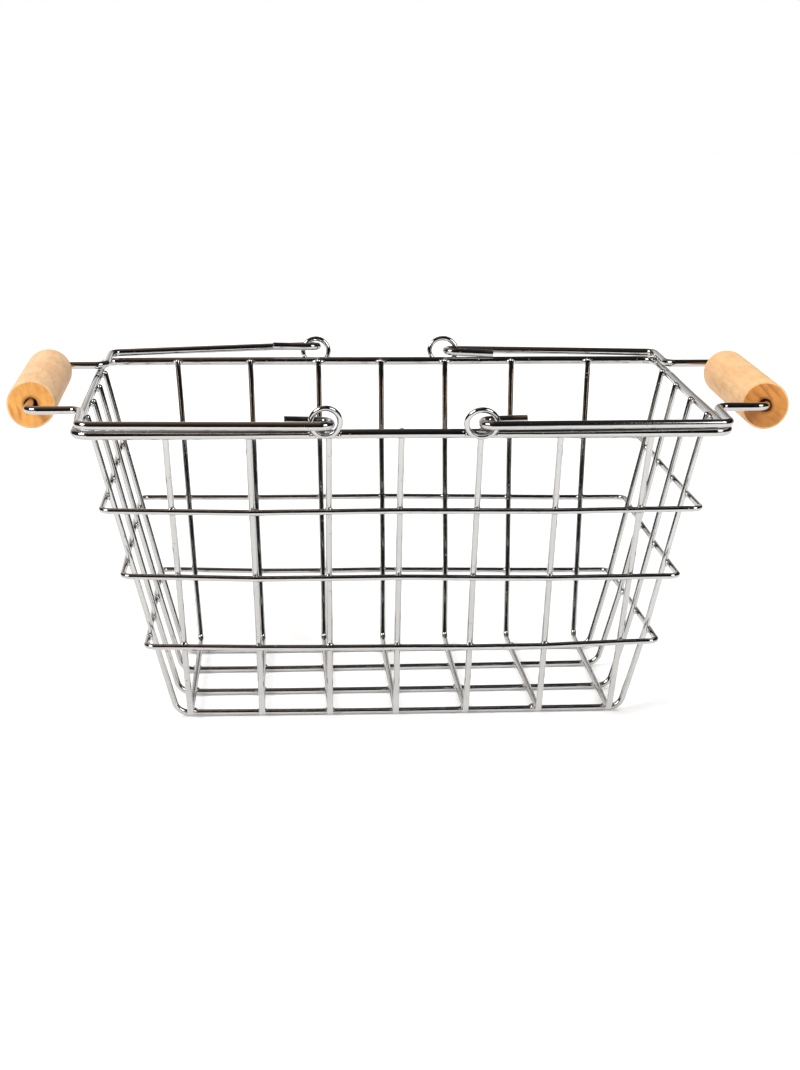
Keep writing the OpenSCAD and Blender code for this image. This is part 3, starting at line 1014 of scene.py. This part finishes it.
class BASKET_OT_grips(Operator):
    """Wooden grips, turned and bored, loose on the handles"""
    bl_idname = "basket.grips"
    bl_label = "Grips"

    def execute(self, context):
        sizes = settings().grips
        bore = (settings().handles.diameter + sizes.slack) / 2
        for side, word in SIDES.items():
            low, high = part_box(word + "_grip")
            radius, half = (high.x - low.x) / 2 + sizes.swelling, (high.y - low.y) / 2
            grain_turn, grain_shift, stain = GRAIN[side]
            piece = self.turned_dowel(
                word + "_grip_wood", (low + high) / 2, radius, half, bore, sizes.edge,
                math.radians(grain_turn), grain_shift * MM, stain)
            piece.data.materials.append(finish(word + " beech"))
            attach(piece, word + "_grip")
            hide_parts(word + "_grip")
        return {"FINISHED"}

    def turned_dowel(self, name, centre, radius, half, bore, edge, grain_turn, grain_shift, stain):
        """Lathe a dowel along Y around its centre, with its grain turned and shifted, and with painted shade:
        dark in the bore, half dark at its mouth, and a painted shadow of the wire on the front end.
        """
        chamfer = 0.35 * MM
        quarter = []
        for i in range(7):
            angle = math.radians(15 * i)
            quarter.append((half - edge + edge * math.sin(angle), radius - edge + edge * math.cos(angle), 0.0))
        side_rings = [(y, radius, 0.0) for y in (0.0, half * 0.25, half * 0.5, half * 0.75)]
        outer, inner = radius - edge - 0.3 * MM, bore + chamfer
        face = [(half, outer + (inner - outer) * f, 1.0) for f in (0.0, 0.2, 0.4, 0.6, 0.8, 1.0)]
        throat = [(y, bore, 1.0) for y in (half - chamfer, half - 6 * MM, half * 0.5, 0.0)]
        back_half = side_rings + quarter + face + throat
        front_half = [(-y, r, end) for y, r, end in reversed(back_half[1:-1])]
        outline = back_half + front_half
        segments = 96
        shadow_bearing, shadow_spread, shadow_depth = stain
        verts, faces, ends, grain, painted_shades = [], [], [], [], []
        for y, r, end in outline:
            for s in range(segments):
                angle = 2 * math.pi * s / segments
                turned = angle + grain_turn
                verts.append(centre + Vector((r * math.cos(angle), y, r * math.sin(angle))))
                grain += (r * math.cos(turned), y + grain_shift, r * math.sin(turned))
                ends.append(end)
                # Painted shade: dark in the bore, half dark on the chamfer at its mouth, and a painted shadow
                # of the wire spread around its bearing on the front end's face
                off = (math.degrees(angle) - shadow_bearing + 180) % 360 - 180
                wire_shadow = shadow_depth * math.exp(-(off / shadow_spread) ** 2) if y < 0 else 0.0
                painted_shades.append(0.9 if r <= bore else 0.5 if r <= inner else end * wire_shadow)
        rows = len(outline)
        for i in range(rows):
            for s in range(segments):
                a, b = i * segments, (i + 1) % rows * segments
                t = (s + 1) % segments
                faces.append((a + s, a + t, b + t, b + s))
        mesh = bpy.data.meshes.new(name)
        mesh.from_pydata(verts, [], faces)
        for label, values in (("at_end", ends), ("stain", painted_shades)):
            mesh.attributes.new(label, "FLOAT", "POINT").data.foreach_set("value", values)
        mesh.attributes.new("dowel", "FLOAT_VECTOR", "POINT").data.foreach_set("vector", grain)
        mesh.polygons.foreach_set("use_smooth", [True] * len(faces))
        mesh.update()
        piece = bpy.data.objects.new(name, mesh)
        bpy.context.scene.collection.objects.link(piece)
        return piece


# Studio


class BASKET_OT_studio(Operator):
    """White floor, soft light and the camera"""
    bl_idname = "basket.studio"
    bl_label = "Studio"

    def execute(self, context):
        self.lay_floor()
        self.light()
        self.surroundings()
        self.place_camera(context)
        context.scene.view_settings.view_transform = "Standard"
        return {"FINISHED"}

    def lay_floor(self):
        look = settings().studio
        maker = SurfaceMaker("studio floor")
        place = maker.add("ShaderNodeTexCoord").outputs["Object"]
        path = maker.add("ShaderNodeLightPath").outputs
        lift = maker.maths("MULTIPLY", path["Is Camera Ray"], look.floor_lift)
        # Painted light: the table's front edge glows a little for glossy rays only, so it looks more lit in
        # the chrome alone
        near = maker.smooth_step(maker.add("ShaderNodeSeparateXYZ", {0: place}).outputs["Y"], -0.15, -0.4)
        near = maker.maths("MULTIPLY", path["Is Glossy Ray"], maker.maths("MULTIPLY", near, 0.16))
        maker.surface("Base Color", (*look.floor_colour, 1.0))
        maker.surface("Roughness", 0.9)
        maker.surface("Specular IOR Level", 0.1)
        maker.surface("Emission Color", (1.0, 1.0, 1.0, 1.0))
        maker.surface("Emission Strength", maker.maths("ADD", lift, near))
        maker.bump(0.05, 0.05 * MM, maker.noise(place, 600.0, 2.0))
        aside, front, back = 1.6, -0.75, 4.0
        corners = [(-aside, front, 0), (aside, front, 0), (aside, back, 0), (-aside, back, 0)]
        mesh = bpy.data.meshes.new("studio_floor")
        mesh.from_pydata(corners, [], [(0, 1, 2, 3)])
        mesh.transform(Matrix.Translation((0, 0, -0.05 * MM)))
        mesh.materials.append(maker.material)
        floor = bpy.data.objects.new("studio_floor", mesh)
        bpy.context.scene.collection.objects.link(floor)

    def light(self):
        """A wide soft light from above, a weaker one from the upper left and a
        faint fill from beside the camera."""
        self.soft_sun("overhead_light", (0.1, 0.1, 1.0), 60, 1.7)
        self.soft_sun("left_light", (-0.85, -0.45, 0.85), 24, 0.7)
        self.soft_sun("front_fill", (0.15, -1.0, 0.3), 50, 0.3)

    def soft_sun(self, name, origin, spread, strength):
        data = bpy.data.lights.new(name, "SUN")
        data.angle = math.radians(spread)
        data.energy = strength
        lamp = bpy.data.objects.new(name, data)
        aim = (-Vector(origin)).to_track_quat("-Z", "Y")
        lamp.matrix_world = Matrix.Translation(Vector(origin) * 2) @ aim.to_matrix().to_4x4()
        lamp.visible_glossy = False
        bpy.context.scene.collection.objects.link(lamp)

    def surroundings(self):
        """Dark room around a white table, with a pale wall behind, pale screens
        low beside the camera and a softbox high on each side of it."""
        world = bpy.data.worlds.new("photo room")
        bpy.context.scene.world = world
        world.use_nodes = True
        tree = world.node_tree
        maker = TreeMaker(tree)
        background = tree.nodes["Background"]
        direction = maker.add("ShaderNodeTexCoord").outputs["Generated"]
        x, y, z = maker.add("ShaderNodeSeparateXYZ", {0: direction}).outputs
        # Arch over the basket: 0 is level towards the camera, 0.5 is straight
        # up and 1 is level behind
        toward = maker.maths("MULTIPLY", y, -1.0)
        arch = maker.maths("DIVIDE", maker.maths("ARCTAN2", z, toward), math.pi)
        clear = maker.ramp(arch, [
            (0.0, 0.008), (0.2, 0.008), (0.32, 0.02), (0.62, 0.04), (0.80, 0.06), (0.90, 0.12), (0.94, 0.4),
            (0.965, 1.0),
        ])
        hazy = maker.ramp(arch, [
            (0.0, (0.014, 0.010, 0.007)), (0.2, (0.02, 0.013, 0.009)), (0.33, (0.07, 0.047, 0.032)),
            (0.5, (0.16, 0.117, 0.088)), (0.68, (0.3, 0.245, 0.2)), (0.85, (0.45, 0.4, 0.36)),
            (0.93, (0.65, 0.62, 0.6)), (0.965, 1.0),
        ])
        overhead = maker.mixed(maker.smooth_step(x, 0.10, -0.04), clear, hazy)
        across = maker.maths("ABSOLUTE", x)
        aside = maker.smooth_step(across, 0.5, 0.8)
        room = maker.mixed(aside, overhead, (0.02, 0.02, 0.02))
        for bearing, elevation, half_size, glow in ((-58, 38, 15, 8.0), (42, 34, 13, 6.0)):
            turn, tilt = math.radians(bearing), math.radians(elevation)
            aim = (math.cos(tilt) * math.sin(turn), -math.cos(tilt) * math.cos(turn), math.sin(tilt))
            closeness = maker.vector("DOT_PRODUCT", direction, aim)
            box = maker.smooth_step(
                closeness, math.cos(math.radians(half_size + 2)), math.cos(math.radians(half_size - 2)))
            room = maker.mixed(box, room, (glow, glow, glow))
        # Low screens, left open towards the camera and on both sides
        screens = maker.maths("MAXIMUM", maker.smooth_step(across, 0.25, 0.42), maker.smooth_step(y, 0.0, 0.2))
        screens = maker.maths("MULTIPLY", screens, maker.smooth_step(across, 0.85, 0.77))
        below = maker.maths("MULTIPLY", maker.smooth_step(z, 0.03, 0.015), screens)
        room = maker.mixed(below, room, (0.95, 0.95, 0.95))
        seen = maker.add("ShaderNodeLightPath").outputs["Is Camera Ray"]
        colour = maker.mixed(seen, room, (1.0, 1.0, 1.0))
        tree.links.new(colour, background.inputs["Color"])
        background.inputs["Strength"].default_value = 1.0

    def place_camera(self, context):
        """Camera of the photograph: place in metres and turn in radians."""
        data = bpy.data.cameras.new("camera")
        data.lens = settings().studio.lens
        data.sensor_width = 36.0
        data.sensor_fit = "AUTO"
        data.shift_y = 0.96 / 1070  # pixels of the photograph over its height
        data.clip_start = 0.05
        data.clip_end = 30.0
        yaw, pitch, roll = 0.065, 0.2585, 0.0062
        forward = Vector((
            math.sin(yaw) * math.cos(pitch), math.cos(yaw) * math.cos(pitch), -math.sin(pitch)))
        level = Vector((math.cos(yaw), -math.sin(yaw), 0.0))
        upright = level.cross(forward)
        right = level * math.cos(roll) + upright * math.sin(roll)
        up = upright * math.cos(roll) - level * math.sin(roll)
        turn = Matrix((right, up, -forward)).transposed().to_4x4()
        camera = bpy.data.objects.new("camera", data)
        camera.matrix_world = Matrix.Translation((-72.11 * MM, -1171.09 * MM, 399.47 * MM)) @ turn
        context.scene.collection.objects.link(camera)
        context.scene.camera = camera


class BASKET_PT_sidebar(Panel):
    """Basket pieces and their sizes"""
    bl_label = "Wire Basket"
    bl_idname = "BASKET_PT_sidebar"
    bl_space_type = "VIEW_3D"
    bl_region_type = "UI"
    bl_category = "Basket"

    def draw(self, context):
        basket = context.scene.basket
        for title, group in (
            ("Wires", basket.wires), ("Handles", basket.handles), ("Grips", basket.grips),
            ("Chrome", basket.chrome), ("Studio", basket.studio),
        ):
            box = self.layout.box()
            box.label(text=title)
            for name in group.__annotations__:
                box.prop(group, name)
        for operator in OPERATORS:
            self.layout.operator(operator.bl_idname)


OPERATORS = (
    BASKET_OT_rim,
    BASKET_OT_cross_wires,
    BASKET_OT_length_wires,
    BASKET_OT_hoops,
    BASKET_OT_pivot_rings,
    BASKET_OT_welds,
    BASKET_OT_handles,
    BASKET_OT_grips,
    BASKET_OT_studio,
)
CLASSES = (
    WireSizes, HandleSizes, GripSizes, ChromeFinish, StudioLook, BasketSettings,
    *OPERATORS, BASKET_PT_sidebar,
)


def register():
    for cls in CLASSES:
        bpy.utils.register_class(cls)
    bpy.types.Scene.basket = PointerProperty(type=BasketSettings)


def unregister():
    del bpy.types.Scene.basket
    for cls in reversed(CLASSES):
        bpy.utils.unregister_class(cls)


def main():
    register()
    bpy.ops.basket.rim()
    bpy.ops.basket.cross_wires()
    bpy.ops.basket.length_wires()
    bpy.ops.basket.hoops()
    bpy.ops.basket.pivot_rings()
    bpy.ops.basket.welds()
    bpy.ops.basket.handles()
    bpy.ops.basket.grips()
    bpy.ops.basket.studio()


if __name__ == "__main__":
    main()
